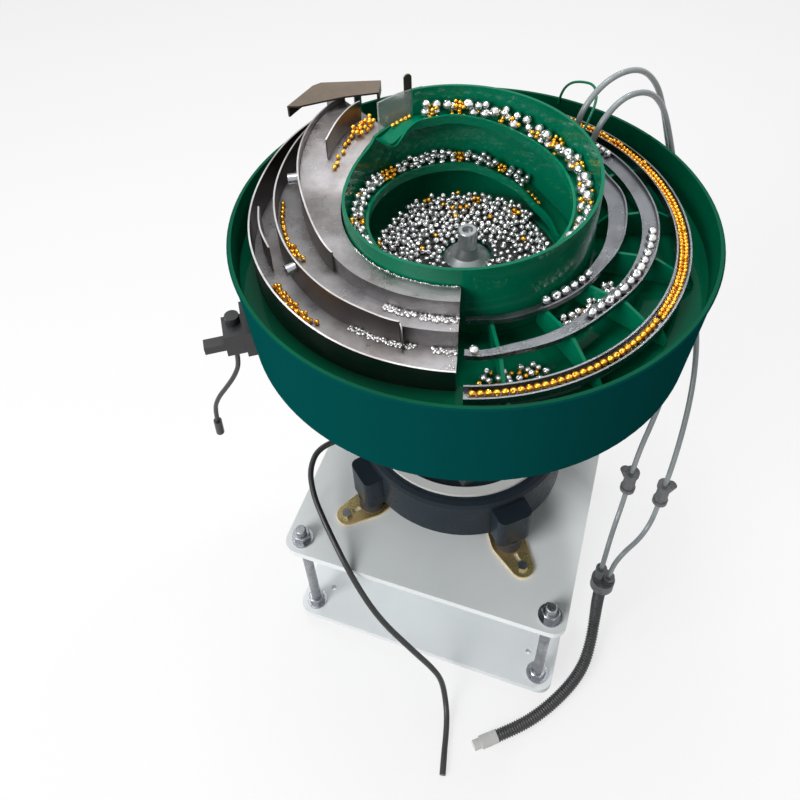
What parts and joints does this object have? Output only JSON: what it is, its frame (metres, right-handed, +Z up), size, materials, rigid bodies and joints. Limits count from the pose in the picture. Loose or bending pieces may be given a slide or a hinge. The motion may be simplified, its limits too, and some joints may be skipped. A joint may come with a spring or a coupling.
{
  "type": "vibratory bowl feeder",
  "caption": "Vibratory bowl feeder: a spiral bowl in a round pan with rails and a stepped tray, on a leaf-spring drive and a two-plate stand.",
  "frame": {"origin": "centre of the four fixing holes, on the underside of the lower plate", "axes": "+Z up along the bowl's axis, +X along the plates' shorter side, +Y along the longer side, away from the viewer of the front"},
  "size_m": [0.4926, 0.5274, 0.676],
  "materials": {
    "grey_plate": "satin grey paint",
    "zinc": "zinc plated",
    "yellow_zinc": "yellow passivated zinc",
    "rubber": "matte",
    "drum_paint": "semi-gloss dark slate paint",
    "white_ring": "matte",
    "core_steel": "laminated",
    "coil": "varnished winding",
    "spring_steel": "satin",
    "clamp": "machined",
    "frame_cast": "cast",
    "pan_green": "gloss dark teal green",
    "bowl_green": "gloss emerald green",
    "stainless": "brushed, scratched",
    "gunmetal": "dark brownish",
    "clear": "clear acrylic",
    "black_plastic": "satin",
    "white_plastic": "satin",
    "hose_grey": "semi-gloss tube",
    "silver_bead": "polished",
    "gold_bead": "polished"
  },
  "bodies": {
    "base": {"lower_plate": "grey_plate", "upper_plate": "grey_plate", "corner_studs": "zinc", "stud_nuts": "zinc", "stud_washers": "zinc", "mount_flanges": "yellow_zinc", "rubber_mounts": "rubber", "flange_screws": "zinc", "drive_base": "drum_paint", "seal_ring": "white_ring", "magnet_core": "core_steel", "magnet_coil": "coil", "lower_spring_clamps": "clamp", "lower_clamp_bolts": "zinc", "leaf_springs": "spring_steel", "power_cable": "black_plastic", "cable_gland": "black_plastic", "cable_plug": "black_plastic", "hose_a": "hose_grey", "hose_b": "hose_grey", "hose_a_lower": "hose_grey", "hose_b_lower": "hose_grey", "y_fittings": "black_plastic", "hose_couplings": "black_plastic", "conduit": "black_plastic", "conduit_plug": "white_plastic"},
    "bowl": {"armature": "core_steel", "armature_stem": "zinc", "upper_spring_clamps": "clamp", "upper_clamp_bolts": "zinc", "top_frame": "frame_cast", "inner_bowl": "bowl_green", "spiral_track": "bowl_green", "centre_bolt": "zinc", "cone_nut": "zinc", "outer_pan": "pan_green", "outer_rail": "stainless", "middle_rail": "stainless", "inner_rail": "stainless", "floor_ribs": "bowl_green", "steel_tray": "stainless", "outer_fence": "stainless", "middle_fence": "stainless", "inner_fence": "stainless", "deflectors": "stainless", "fence_screws": "zinc", "tray_hood": "gunmetal", "hood_post": "zinc", "clear_guard": "clear", "rim_lug": "gunmetal", "bead_heap": "silver_bead", "track_beads": "silver_bead", "gold_bead_row": "gold_bead", "loose_silver_beads": "silver_bead", "tray_beads": "gold_bead", "sensor_lead": "black_plastic", "hose_fittings": "zinc", "sensor_bracket": "black_plastic", "lead_connector": "black_plastic"}
  },
  "joints": [
    {"name": "bowl_torsion", "type": "hinge", "parent": "base", "child": "bowl", "pos_m": [0, 0, 0.36], "axis": [0, 0, 1], "range_deg": [-0.4, 0.4], "stiffness_Nm_per_rad": 40000, "deforming": ["leaf_springs"]}
  ]
}
